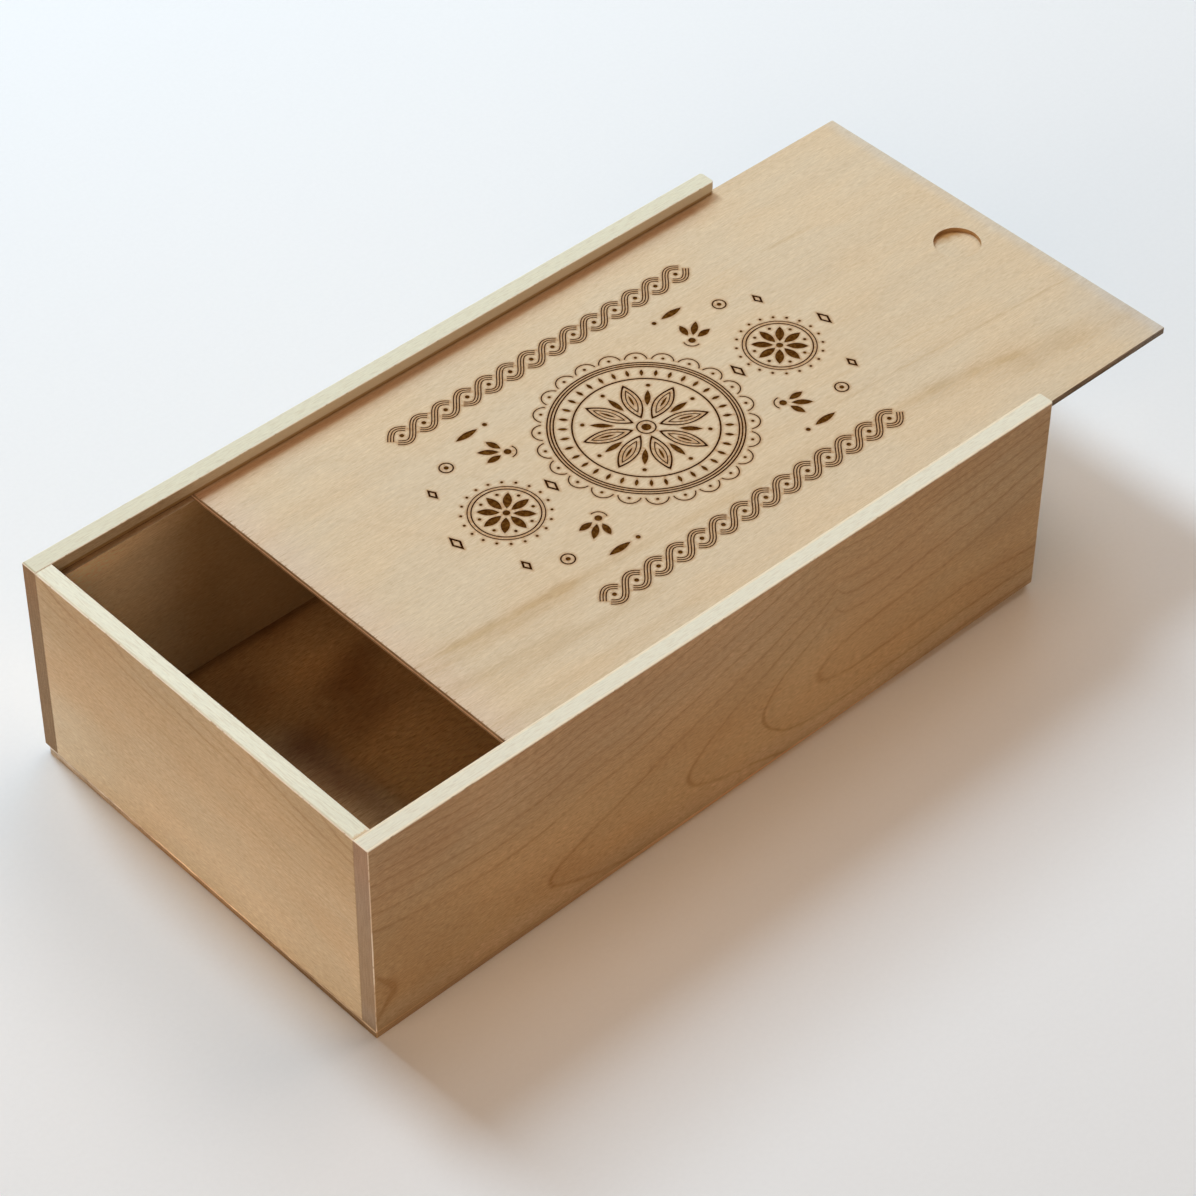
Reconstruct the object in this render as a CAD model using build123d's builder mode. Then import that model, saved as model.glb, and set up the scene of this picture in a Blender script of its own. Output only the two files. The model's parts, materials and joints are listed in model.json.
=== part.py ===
"""Sliding-lid keepsake box: four butt-jointed boards, a planted plywood bottom and a plywood lid.

Millimetres, +Z up. The origin is the centre of the bottom panel's underside. The closed end is at
-X and the open end at +X, so the lid slides out along +X. The lid is drawn partly pulled out.
"""
import os

from build123d import *

# Driving dimensions.
box_length = 355.0  # over the outsides of the end boards
box_width = 200.0  # over the outsides of the side boards
box_height = 101.0  # boards and bottom panel together
board_thickness = 8.0  # all four boards
arris_radius = 0.4  # sanded edges of the boards
end_corner_radius = 1.5  # upright corners of the side boards beside the open end

bottom_thickness = 4.0  # plywood
bottom_inset = 0.5  # the bottom panel stops this far inside the boards' outer faces
lid_thickness = 3.0  # plywood

groove_lip = 6.2  # wood left above the lid groove
groove_height = 3.4
groove_depth = 3.0  # into each side board
end_groove_depth = 5.0  # into the closed end board
closed_end_drop = 0.2  # the closed end board stands this much below the side boards
open_end_clearance = 0.2  # between the lid's underside and the open end board

lid_side_play = 0.5  # at each edge of the lid, in the grooves
lid_end_play = 0.3  # between the closed lid and the bottom of the end groove
lid_overhang = 1.2  # of the closed lid beyond the open end
lid_pulled_out = 72.4  # from the closed position to the drawn one
lid_corner_radius = 0.6
lid_arris = 0.2

recess_diameter = 20.0  # thumb recess, cut with a flat-bottomed bit
recess_depth = 1.9
recess_from_end = 22.0  # its centre to the lid's outer end

brad_diameter = 1.2
brad_length = 15.0
brad_sink = 0.3  # brad heads below the bottom panel's underside
side_brad_spacing = 80.0
side_brad_count = 5  # under each side board
end_brad_spacing = 96.0
end_brad_count = 2  # under each end board

# Sizes that follow from them.
board_height = box_height - bottom_thickness
inner_length = box_length - 2 * board_thickness
inner_width = box_width - 2 * board_thickness
side_board_y = (box_width - board_thickness) / 2
end_board_x = (box_length - board_thickness) / 2
groove_top = box_height - groove_lip
groove_floor = groove_top - groove_height
groove_middle = (groove_top + groove_floor) / 2
groove_start = -box_length / 2 + board_thickness - end_groove_depth
open_end_top = groove_floor - open_end_clearance
closed_end_top = box_height - closed_end_drop
lid_width = inner_width + 2 * (groove_depth - lid_side_play)
lid_closed_inner_end = groove_start + lid_end_play
lid_length = box_length / 2 + lid_overhang - lid_closed_inner_end
lid_inner_end = lid_closed_inner_end + lid_pulled_out
lid_outer_end = lid_inner_end + lid_length
lid_middle = (lid_inner_end + lid_outer_end) / 2

side_brad_places = GridLocations(side_brad_spacing, 2 * side_board_y, side_brad_count, 2)
end_brad_places = GridLocations(2 * end_board_x, end_brad_spacing, 2, end_brad_count)
brad_places = [*side_brad_places.locations, *end_brad_places.locations]


def save(piece, label):
    """Label a finished piece and write it to parts/ under the same name."""
    piece.part.label = label
    export_step(piece.part, f"parts/{label}.step")


os.makedirs("parts", exist_ok=True)

# Brads driven up through the bottom panel into the boards, their heads sunk below its underside.
# Each one fills the hole that it makes in its board.
with BuildPart() as bottom_brads:
    with BuildSketch(Plane.XY.offset(brad_sink)):
        with Locations(*brad_places):
            Circle(brad_diameter / 2)
    extrude(amount=brad_length)
save(bottom_brads, "bottom_brads")

# Front side board. The lid groove runs in its inner face from a rounded stop, hidden behind the
# closed end board, out through the open end.
with BuildPart() as front_side_board:
    with BuildSketch(Plane.XY.offset(bottom_thickness)):
        with Locations((0, -side_board_y)):
            Rectangle(box_length, board_thickness)
    extrude(amount=board_height)
    uprights = front_side_board.edges().filter_by(Axis.Z)
    fillet(uprights.group_by(Axis.X)[-1], end_corner_radius)
    outer_upright = front_side_board.edges().filter_by(Axis.Z).group_by(Axis.X)[0].sort_by(Axis.Y)[0]
    top_edges = front_side_board.faces().sort_by(Axis.Z)[-1].edges()
    fillet([outer_upright, *top_edges], arris_radius)
    inner_face = Plane(origin=(0, -inner_width / 2, 0), x_dir=(1, 0, 0), z_dir=(0, 1, 0))
    with BuildSketch(inner_face):
        with Locations((groove_start, -groove_middle)):
            Rectangle(box_length, groove_height, align=(Align.MIN, Align.CENTER))
            Circle(groove_height / 2)
    extrude(amount=-groove_depth, mode=Mode.SUBTRACT)
    add(bottom_brads.part, mode=Mode.SUBTRACT)
save(front_side_board, "front_side_board")

# Rear side board: the front one, mirrored.
with BuildPart() as rear_side_board:
    add(front_side_board.part)
    mirror(about=Plane.XZ, mode=Mode.REPLACE)
save(rear_side_board, "rear_side_board")

# Closed end board, between the side boards. Its groove takes the inner end of the closed lid.
with BuildPart() as closed_end_board:
    with BuildSketch(Plane.XY.offset(bottom_thickness)):
        with Locations((-end_board_x, 0)):
            Rectangle(board_thickness, inner_width)
    extrude(amount=closed_end_top - bottom_thickness)
    top_edges = closed_end_board.edges().filter_by(Axis.Y).group_by(Axis.Z)[-1]
    fillet(top_edges, arris_radius)
    with BuildSketch(Plane.XY.offset(groove_floor)):
        with Locations((groove_start, 0)):
            Rectangle(board_thickness, inner_width, align=(Align.MIN, Align.CENTER))
    extrude(amount=groove_height, mode=Mode.SUBTRACT)
    add(bottom_brads.part, mode=Mode.SUBTRACT)
save(closed_end_board, "closed_end_board")

# Open end board, cut down so that the lid slides over it.
with BuildPart() as open_end_board:
    with BuildSketch(Plane.XY.offset(bottom_thickness)):
        with Locations((end_board_x, 0)):
            Rectangle(board_thickness, inner_width)
    extrude(amount=open_end_top - bottom_thickness)
    top_edges = open_end_board.edges().filter_by(Axis.Y).group_by(Axis.Z)[-1]
    fillet(top_edges, arris_radius)
    add(bottom_brads.part, mode=Mode.SUBTRACT)
save(open_end_board, "open_end_board")

# Bottom panel, planted under the boards and pierced by the brads.
with BuildPart() as bottom_panel:
    with BuildSketch():
        Rectangle(box_length - 2 * bottom_inset, box_width - 2 * bottom_inset)
    extrude(amount=bottom_thickness)
    with BuildSketch():
        with Locations(*brad_places):
            Circle(brad_diameter / 2)
    extrude(amount=bottom_thickness, mode=Mode.SUBTRACT)
save(bottom_panel, "bottom_panel")

# Lid panel, resting on the floors of the side grooves, with a thumb recess near its outer end.
with BuildPart() as lid_panel:
    with BuildSketch(Plane.XY.offset(groove_floor)):
        with Locations((lid_middle, 0)):
            Rectangle(lid_length, lid_width)
    extrude(amount=lid_thickness)
    fillet(lid_panel.edges().filter_by(Axis.Z), lid_corner_radius)
    chamfer(lid_panel.faces().sort_by(Axis.Z)[-1].edges(), lid_arris)
    with BuildSketch(Plane.XY.offset(groove_floor + lid_thickness)):
        with Locations((lid_outer_end - recess_from_end, 0)):
            Circle(recess_diameter / 2)
    extrude(amount=-recess_depth, mode=Mode.SUBTRACT)
save(lid_panel, "lid_panel")
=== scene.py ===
"""Looks of the sliding-lid keepsake box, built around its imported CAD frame.

Blender 4.5, metres, in the frame's axes: +X along the box towards the open end, +Z up.
Materials and the lid's outlines work in millimetres, which MM turns into metres.
"""
import json
import math

import bmesh
import bpy
import numpy as np
from mathutils import Matrix, Vector, geometry, kdtree

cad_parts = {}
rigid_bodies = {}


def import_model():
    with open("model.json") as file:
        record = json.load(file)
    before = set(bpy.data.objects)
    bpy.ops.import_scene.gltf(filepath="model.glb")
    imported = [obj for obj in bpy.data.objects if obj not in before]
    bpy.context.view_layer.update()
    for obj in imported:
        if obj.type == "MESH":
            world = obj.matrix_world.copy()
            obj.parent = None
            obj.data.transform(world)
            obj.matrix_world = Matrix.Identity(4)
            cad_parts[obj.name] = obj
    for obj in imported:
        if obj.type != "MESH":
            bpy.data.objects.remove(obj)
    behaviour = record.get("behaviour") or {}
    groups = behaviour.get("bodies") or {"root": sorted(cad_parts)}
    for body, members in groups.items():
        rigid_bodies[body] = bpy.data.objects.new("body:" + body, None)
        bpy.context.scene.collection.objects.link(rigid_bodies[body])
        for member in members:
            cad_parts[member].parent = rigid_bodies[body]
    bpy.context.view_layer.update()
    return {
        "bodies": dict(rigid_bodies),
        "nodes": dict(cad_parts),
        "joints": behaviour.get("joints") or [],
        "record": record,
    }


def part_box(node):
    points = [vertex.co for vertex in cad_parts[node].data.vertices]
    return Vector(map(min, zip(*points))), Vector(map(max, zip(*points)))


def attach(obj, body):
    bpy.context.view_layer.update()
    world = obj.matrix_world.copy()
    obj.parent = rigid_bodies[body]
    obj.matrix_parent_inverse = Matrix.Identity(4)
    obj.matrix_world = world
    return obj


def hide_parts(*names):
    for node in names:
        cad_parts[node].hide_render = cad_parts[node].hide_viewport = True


MM = 0.001
HALF_LENGTH = 177.5
HALF_WIDTH = 100
BOX_TOP = 101

# ---- camera, floor and lights

CAMERA_PLACE = (-0.74344, -0.81538, 1.09566)
CAMERA_AZIMUTH = -43.338  # at 0 it would look along +Y
CAMERA_ELEVATION = 43.775
CAMERA_ROLL = 0.577
CAMERA_LENS = 116.16
SENSOR = 36

LAMP_AIM = Vector((0.03, 0, 0.05))
LAMP_DISTANCE = 2.6
WIDE = 1.6
NARROW = 0.7
COOL = (0.721, 0.88, 1)
# Name, direction it shines from (0 is +X, 90 is +Y), height in degrees, size, watts, colour.
LAMPS = (
    ("window", 90, 44, NARROW, 22.4, COOL),
    ("window_high", 90, 58, NARROW, 23.2, COOL),
    ("sky_right", 45, 60, WIDE, 8.9, COOL),
    ("sky_low", 45, 35, WIDE, 11.8, COOL),
    ("low_sun", 180, 12, WIDE, 22.1, (1, 0.729, 0.52)),
    ("room_left", 225, 35, WIDE, 13.6, (1, 0.659, 0.398)),
    ("room_right", 0, 60, WIDE, 18.2, (1, 0.757, 0.572)),
)
BACKDROP = (0.86, 0.9, 0.93)  # what the camera and reflections see beyond the floor
UNSEEN = (1, 0.9, 0.8)
UNSEEN_STRENGTH = 0.02  # the little light that the world itself gives


def make_camera():
    """The photo's camera: turned to its azimuth, then tilted down, then rolled."""
    data = bpy.data.cameras.new("camera")
    data.sensor_width = SENSOR
    data.lens = CAMERA_LENS
    data.clip_end = 20
    camera = bpy.data.objects.new("camera", data)
    matrix = Matrix.Translation(CAMERA_PLACE)
    for angle, axis in ((CAMERA_AZIMUTH, "Z"), (90 - CAMERA_ELEVATION, "X"), (CAMERA_ROLL, "Z")):
        matrix @= Matrix.Rotation(math.radians(angle), 4, axis)
    camera.matrix_world = matrix
    bpy.context.scene.collection.objects.link(camera)
    bpy.context.scene.camera = camera


def make_lamp(name, azimuth, height, size, watts, colour):
    """A round lamp aimed at the middle of the box."""
    a, h = math.radians(azimuth), math.radians(height)
    away = Vector((math.cos(a) * math.cos(h), math.sin(a) * math.cos(h), math.sin(h)))
    data = bpy.data.lights.new(name, "AREA")
    data.shape = "DISK"
    data.size = size
    data.energy = watts
    data.color = colour
    lamp = bpy.data.objects.new(name, data)
    lamp.location = LAMP_AIM + away * LAMP_DISTANCE
    lamp.rotation_euler = (-away).to_track_quat("-Z", "Y").to_euler()
    bpy.context.scene.collection.objects.link(lamp)


def make_world():
    """A pale backdrop for the camera and for reflections, which adds next to no light."""
    world = bpy.data.worlds.new("world")
    world.use_nodes = True
    tree = world.node_tree
    backdrop = tree.nodes["Background"]
    dim = tree.nodes.new("ShaderNodeBackground")
    for node, colour, strength in ((backdrop, BACKDROP, 1), (dim, UNSEEN, UNSEEN_STRENGTH)):
        node.inputs["Color"].default_value = (*colour, 1)
        node.inputs["Strength"].default_value = strength
    path = tree.nodes.new("ShaderNodeLightPath")
    seen = tree.nodes.new("ShaderNodeMath")
    seen.operation = "MAXIMUM"
    choose = tree.nodes.new("ShaderNodeMixShader")
    for start, end in (
        (path.outputs["Is Camera Ray"], seen.inputs[0]),
        (path.outputs["Is Glossy Ray"], seen.inputs[1]),
        (seen.outputs[0], choose.inputs[0]),
        (dim.outputs[0], choose.inputs[1]),
        (backdrop.outputs[0], choose.inputs[2]),
        (choose.outputs[0], tree.nodes["World Output"].inputs["Surface"]),
    ):
        tree.links.new(start, end)
    bpy.context.scene.world = world
    bpy.context.scene.view_settings.view_transform = "Standard"


# ---- shader graphs

# What the darkest and the palest speckles multiply a colour by.
SPECKLE_DARK = (0.54, 0.4, 0.21)
SPECKLE_PALE = (1.46, 1.6, 1.79)


def arithmetic(operation, turned=False):
    """A method that adds one Math node; turned puts the other number first."""

    def method(self, other):
        first, second = (other, self) if turned else (self, other)
        return self.graph.math(operation, first, second)

    return method


class Wire:
    """A number in a shader graph; arithmetic on it adds Math nodes."""

    def __init__(self, graph, socket):
        self.graph = graph
        self.socket = socket

    __add__ = arithmetic("ADD")
    __radd__ = arithmetic("ADD", turned=True)
    __sub__ = arithmetic("SUBTRACT")
    __rsub__ = arithmetic("SUBTRACT", turned=True)
    __mul__ = arithmetic("MULTIPLY")
    __truediv__ = arithmetic("DIVIDE")
    __pow__ = arithmetic("POWER")

    def __abs__(self):
        return self.graph.math("ABSOLUTE", self)


class Graph:
    """One material; each call adds a node and returns what comes out of it."""

    def __init__(self, name, roughness=0.6, specular=0.3):
        self.material = bpy.data.materials.new(name)
        self.material.use_nodes = True
        self.tree = self.material.node_tree
        self.shader = self.tree.nodes["Principled BSDF"]
        self.shader.inputs["Roughness"].default_value = roughness
        self.shader.inputs["Specular IOR Level"].default_value = specular

    def plug(self, value, socket):
        if isinstance(value, Wire):
            self.tree.links.new(value.socket, socket)
        elif isinstance(value, tuple) and len(value) == 3 and socket.type == "RGBA":
            socket.default_value = (*value, 1)
        else:
            socket.default_value = value

    def node(self, kind, *values, **settings):
        """A new shader node with its settings made and values in its first inputs."""
        node = self.tree.nodes.new("ShaderNode" + kind)
        for key, value in settings.items():
            setattr(node, key, value)
        for value, socket in zip(values, node.inputs):
            self.plug(value, socket)
        return node

    def math(self, operation, *values):
        return Wire(self, self.node("Math", *values, operation=operation).outputs[0])

    def split(self, socket):
        place = self.node("SeparateXYZ", Wire(self, socket))
        return [Wire(self, output) for output in place.outputs]

    def millimetres(self):
        """The object's own x, y and z in millimetres."""
        place = self.node("TexCoord").outputs["Object"]
        return [axis * 1000 for axis in self.split(place)]

    def facing(self):
        """How far the surface faces along x, y and z, from -1 to 1."""
        return self.split(self.node("TexCoord").outputs["Normal"])

    def noise(self, x, y, z, detail=2, roughness=0.5):
        """Noise from 0 to 1, about 0.5 on average."""
        place = Wire(self, self.node("CombineXYZ", x, y, z).outputs[0])
        node = self.node("TexNoise", place)
        for key, value in (("Scale", 1), ("Detail", detail), ("Roughness", roughness)):
            node.inputs[key].default_value = value
        return Wire(self, node.outputs["Fac"])

    def rise(self, value, start, end, low=0, high=1):
        """Smoothly from low at start to high at end."""
        node = self.node("MapRange", value, start, end, low, high)
        node.interpolation_type = "SMOOTHSTEP"
        return Wire(self, node.outputs["Result"])

    def bump_of(self, value, centre, width):
        """A bell that is 1 at centre and falls away over width."""
        step = (value - centre) / width
        return self.math("EXPONENT", step * step * -1)

    def curve(self, value, points):
        """A smooth line through points, each an input and its output."""
        xs, ys = zip(*points)
        low, high = min(ys), max(ys)
        node = self.node("FloatCurve")
        self.plug((value - xs[0]) / (xs[-1] - xs[0]), node.inputs["Value"])
        handles = node.mapping.curves[0].points
        places = [((x - xs[0]) / (xs[-1] - xs[0]), (y - low) / (high - low)) for x, y in points]
        handles[0].location = places[0]
        handles[-1].location = places[-1]
        for place in places[1:-1]:
            handles.new(*place)
        for handle in handles:
            handle.handle_type = "AUTO_CLAMPED"
        node.mapping.update()
        return Wire(self, node.outputs["Value"]) * (high - low) + low

    def blend(self, factor, first, second, mode="MIX"):
        """Colour from first to second by factor."""
        node = self.node("Mix", data_type="RGBA", blend_type=mode)
        self.plug(factor, node.inputs[0])
        self.plug(first, node.inputs[6])
        self.plug(second, node.inputs[7])
        return Wire(self, node.outputs[2])

    def stain(self, colour, *layers):
        """Colour multiplied by one tint after another, each by its own share from 0 to 1."""
        for share, tint in layers:
            colour = self.blend(share, colour, tint, "MULTIPLY")
        return colour

    def shade(self, colour, factor):
        """Colour multiplied by a tint, or made lighter or darker by a number near 1."""
        return self.blend(1, colour, factor, "MULTIPLY")

    def speckle(self, colour, amount):
        """Colour made lighter and paler, or darker and deeper, by an amount near 0."""
        return self.shade(colour, self.blend(amount / 1.2 + 0.5, SPECKLE_DARK, SPECKLE_PALE))

    def finish(self, colour, roughness=None, height=None, depth=0.1):
        """Joins colour, roughness and a bump whose full height is depth millimetres."""
        self.plug(colour, self.shader.inputs["Base Color"])
        if roughness is not None:
            self.plug(roughness, self.shader.inputs["Roughness"])
        if height is not None:
            node = self.node("Bump")
            node.inputs["Distance"].default_value = depth * MM
            self.plug(height, node.inputs["Height"])
            self.plug(Wire(self, node.outputs[0]), self.shader.inputs["Normal"])
        return self.material


# ---- solid wood

RING_PITCH = 5.74  # millimetres of radius between growth rings
RINGS_TO_CREST = 10.18  # rings from the pith to the ring that crests first
# Along the board: where the crest of the rings lies, and which ring it is.
CREST_HEIGHT = (
    (0, 22), (86, 21), (153, 26), (195, 31.5), (226, 34.5), (250, 36.5), (290, 38.5), (355, 43.5),
)
CREST_RING = (
    (0, -0.24), (9, 0), (50, 0.17), (86, 0), (153, -1), (195, -2), (226, -3), (250, -3.24),
    (312, -3.3), (355, -3.8),
)
# Rings grow unevenly: the ring count against its even spacing.
RING_COUNT = (
    (-4, -4), (0, 0), (1.3, 1), (2.13, 2), (2.98, 3), (3.83, 4), (4.47, 5), (5.08, 6), (5.8, 7),
    (6.43, 8), (8.3, 11),
)
# The end boards' rings by height: how many lie below, and how many there are to a millimetre.
END_RINGS = (
    (0, 0), (40, 12.2), (80, 24.4), (85, 25.7), (90, 26.7), (95, 27.4), (98, 27.6), (101, 27.75),
)
END_PACE = ((0, 0.306), (80, 0.306), (85, 0.27), (90, 0.19), (95, 0.124), (98, 0.072), (101, 0.054))
END_SLOPE = 41  # millimetres along an end board in which its rings fall by one

# The paler and the darker tone of each board's faces.
SIDE_TONES = ((0.615, 0.4, 0.204), (0.56, 0.35, 0.17))
REAR_TONES = ((0.72, 0.53, 0.335), (0.665, 0.48, 0.29))
END_TONES = ((0.622, 0.484, 0.309), (0.574, 0.435, 0.266))
RING_STAIN = (0.79, 0.71, 0.59)
EDGE_CREAM = (0.73, 0.69, 0.525)
EDGE_TAN = (0.64, 0.57, 0.408)
END_PALE = (0.418, 0.312, 0.216)
END_DARK = (0.347, 0.251, 0.167)
RUBBED_PALE_AND_LIT = (0.9, 0.79, 0.64)
RUBBED_DARK = (0.52, 0.38, 0.25)
INNER_HUE = (0.96, 1.06, 1.2)  # the inner faces are less golden than the outer ones
PEACH = (1.018, 0.993, 0.972)
GREYISH = (0.982, 1, 1.018)
SEAM_SHADE = (0.6, 0.5, 0.42)  # painted shade in the hairline seam where an end board meets the long boards
# How far the rounded edges are rubbed pale and lightened as a painted highlight, by height.
WORN_AND_LIT = (
    (0, 1), (3, 1), (7, 0.35), (29, 0.4), (32, 0.95), (57, 0.9), (60, 0.5), (96, 0.6), (101, 0.85),
)


def crowned_rings(g, along, across, deep):
    """Growth rings of a flat-sawn board, long tongues one inside another: darkness from 0."""
    wander = g.noise(along / 70, across / 24, deep / 30) - 0.5
    wiggle = g.noise(along / 9, across / 6, deep / 12, detail=3) - 0.5
    # The rings climb to a small knot and drop sharply past it.
    past = g.math("MAXIMUM", (235 - along) / 9, (along - 235) / 4.5)
    knot = g.math("EXPONENT", past * -1) * g.rise(across, 46, 60) * g.rise(across, 92, 74)
    dip = g.bump_of(along, 262, 18) * g.rise(across, 48, 60)
    lift = knot * 8.5 - dip * 2.5 + g.rise(along, 62, 0, 0, 4.2) * g.rise(across, 34, 50)
    lift = lift + g.bump_of(along, 105, 16) * g.rise(across, 30, 50) * 3
    lift = lift - g.rise(along, 225, 255) * g.rise(across, 80, 100) * 6.5
    height = across - lift + wander * 2.4 + wiggle * 1.5 - g.curve(along, CREST_HEIGHT)
    reach = (g.curve(along, CREST_RING) + RINGS_TO_CREST) * RING_PITCH - deep * 0.9
    radius = g.math("SQRT", reach * reach + height * height)
    count = g.curve(radius / RING_PITCH - RINGS_TO_CREST, RING_COUNT)
    # How fast the count changes per millimetre, so that lines keep their width at the crests.
    climb = g.rise(abs(along - 50), 0, 190, 0, 0.034) * reach / radius
    side = height / (radius * RING_PITCH)
    pace = g.math("SQRT", climb * climb + side * side + 0.00006)
    distance = abs(count - g.math("ROUND", count)) / pace

    smudge = g.rise(along, 46, 14) * g.rise(across, 36, 28)
    crest = g.bump_of(height, 0, 8)
    line = g.math("EXPONENT", (distance / (smudge * 1.1 + crest * 0.35 + 0.68)) ** 2 * -1)
    patchy = g.noise(along / 36, count * 1.7, 0)
    strength = g.rise(patchy, 0.3, 0.68, 0.28, 0.96) + crest * 0.5 + smudge * 0.25
    strength = strength * g.rise(across, 62, 86, 1, 0.9)
    late = g.rise(g.math("FRACT", count + 100), 0.5, 1)
    return line * strength + late * 0.15


def quiet_rings(g, along, across, deep):
    """Faint close lines of a board sawn nearly along the rings: darkness from 0."""
    sway = g.noise(along / 50, across / 30, deep / 30) - 0.5
    wiggle = g.noise(along / 9, across / 5, deep / 12) - 0.5
    level = across + sway * 4 + wiggle * 1.2
    count = g.curve(level, END_RINGS) + along / END_SLOPE
    pace = g.math("SQRT", g.curve(level, END_PACE) ** 2 + END_SLOPE ** -2)
    distance = abs(count - g.math("ROUND", count)) / pace
    line = g.math("EXPONENT", (distance / 0.66) ** 2 * -1)
    patchy = g.noise(along / 30, count * 0.8, 5)
    strength = g.rise(patchy, 0.4, 0.68, 0.05, 0.45) + g.rise(across, 82, 90) * 0.45
    return line * strength * g.rise(across, 38, 58, 0.3, 1)


def wood_board(name, frame, rings, tones, seed, grain_axis, marks, grittiness=1):
    """Limewood-like board. frame turns x, y, z into along, across and deep, in millimetres."""
    g = Graph(name, specular=0.22)
    x, y, z = g.millimetres()
    nx, ny, nz = g.facing()
    along, across, deep = frame(x, y, z)
    ring = rings(g, along, across, deep) * g.rise(deep, 7.6, 6.8, 0.12, 1)

    # Slow drifts of tone and hue, fibres along the grain, pores and fine grit.
    drift = g.noise(along / 80, across / 30, deep / 20 + seed)
    hue = g.noise(along / 60, across / 30, deep / 13 + seed + 3)
    fibre = g.noise(along / 16, across * 0.9, deep * 0.9 + seed, detail=3, roughness=0.6)
    pore_noise = g.noise(along / 4, across * 2.4, deep * 2.4 + seed, detail=1)
    pore = g.rise(pore_noise, 0.6, 0.76)
    grit = g.noise(along / 3.4, across / 0.5, deep / 0.5 + seed, roughness=0.7) - 0.5
    inner = g.rise(deep, 6.8, 7.6)
    face = g.blend(g.rise(drift, 0.32, 0.68), *tones)
    face = g.shade(face, g.blend(g.rise(hue, 0.34, 0.66), PEACH, GREYISH))
    face = g.stain(face, (ring, RING_STAIN), (inner, INNER_HUE))
    face = g.shade(face, 1 + (fibre - 0.5) * 0.2 - pore * 0.13)
    face = g.speckle(face, grit * grittiness)

    # Planed top edges are paler, with dashes along the grain.
    length, width = (x, y) if grain_axis == "x" else (y, x)
    dash_noise = g.noise(length / 6, width * 2, z * 2 + seed)
    cream = g.blend(g.rise(dash_noise, 0.46, 0.7, 0, 0.75), EDGE_CREAM, EDGE_TAN)
    cream = g.shade(cream, 1 + grit * 0.28)

    # End grain is darker, streaked along the rings and redder towards the top.
    streak = g.noise(length / 10, width * 1.8, z / 9 + seed, detail=3, roughness=0.65)
    end = g.blend(g.rise(streak, 0.36, 0.64), END_DARK, END_PALE)
    end = g.stain(end, (g.rise(z, 66, 98), (1.04, 0.93, 0.84)))
    end = g.shade(end, 1 + grit * 0.8)

    top = g.rise(nz, 0.72, 0.94) * g.rise(z, 97, 98)
    butt = g.rise(abs(nx if grain_axis == "x" else ny), 0.8, 0.96)
    colour = g.blend(butt, g.blend(top, face, cream), end)
    colour = marks(g, x, y, z, top, colour)

    # Rounded edges: rubbed pale and lightened as a painted highlight, with a few dark nicks.
    widest = g.math("MAXIMUM", g.math("MAXIMUM", abs(nx), abs(ny)), abs(nz))
    rounded = g.rise(widest, 0.996, 0.95) * g.curve(z, WORN_AND_LIT)
    nick = g.noise(x / 4, y / 4, z / 4 + seed, detail=3, roughness=0.7)
    colour = g.blend(rounded, colour, g.blend(g.rise(nick, 0.54, 0.66), RUBBED_PALE_AND_LIT, RUBBED_DARK))

    rough = g.rise(fibre, 0.2, 0.8, 0.54, 0.68) + butt * 0.15 - top * 0.06
    relief = fibre * 0.5 - ring * 0.25 - pore * 0.35 + grit * 0.5 + streak * butt * 0.6
    return g.finish(colour, rough, relief, 0.03)


def front_frame(x, y, z):
    return x + HALF_LENGTH, z, y + HALF_WIDTH


def rear_frame(x, y, z):
    return HALF_LENGTH - x + 20, BOX_TOP + 14 - z, HALF_WIDTH - y


def closed_frame(x, y, z):
    return HALF_WIDTH - y, z, x + HALF_LENGTH


def open_frame(x, y, z):
    return y + HALF_WIDTH + 17, z * 0.94, HALF_LENGTH - x


def front_marks(g, x, y, z, top, colour):
    """Painted light, greyer towards the top edge and golden below; a little darker along the foot; a pale
    top, lightened further by painted light.
    """
    side = 1 - top
    # Painted light: cooler towards the top edge and warmer below, less cool towards the open end.
    colour = g.shade(colour, g.blend(g.rise(z, 40, 92), (1.02, 1, 0.94), (0.98, 0.975, 1.02)))
    colour = g.stain(colour, (g.rise(x, 0, 60) * g.rise(z, 55, 85) * side, (0.99, 0.97, 0.9)))
    belly = g.bump_of(x, 60, 75) * g.rise(z, 55, 15) * 0.12
    ends = g.rise(x, -118, -150) * 0.09 + g.rise(x, 95, 160) * 0.1
    colour = g.shade(colour, 1 + (belly - ends) * side)
    # Darker towards the foot, in a mottle.
    foot_mottle = g.noise(x / 30, z / 2, 2, detail=3)
    colour = g.stain(
        colour,
        (g.rise(z, 9, 4.3) * g.rise(foot_mottle, 0.25, 0.6, 0.6, 1), (0.88, 0.86, 0.82)),
        (g.rise(z, 20, 7), (1, 1.08, 1.24)),
        (top * g.rise(abs(y + 96), 2.7, 3.3), (1.1, 1.02, 0.93)),
    )
    # Painted light: the top is made a little lighter still.
    return g.shade(colour, 1 + top * 0.11)


def joints(g, y):
    """Where an end board meets the long boards, and how much painted seam shade lies there, from 0 to
    0.75.
    """
    return g.rise(abs(y), 91.5, 91.85) * 0.75


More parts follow.
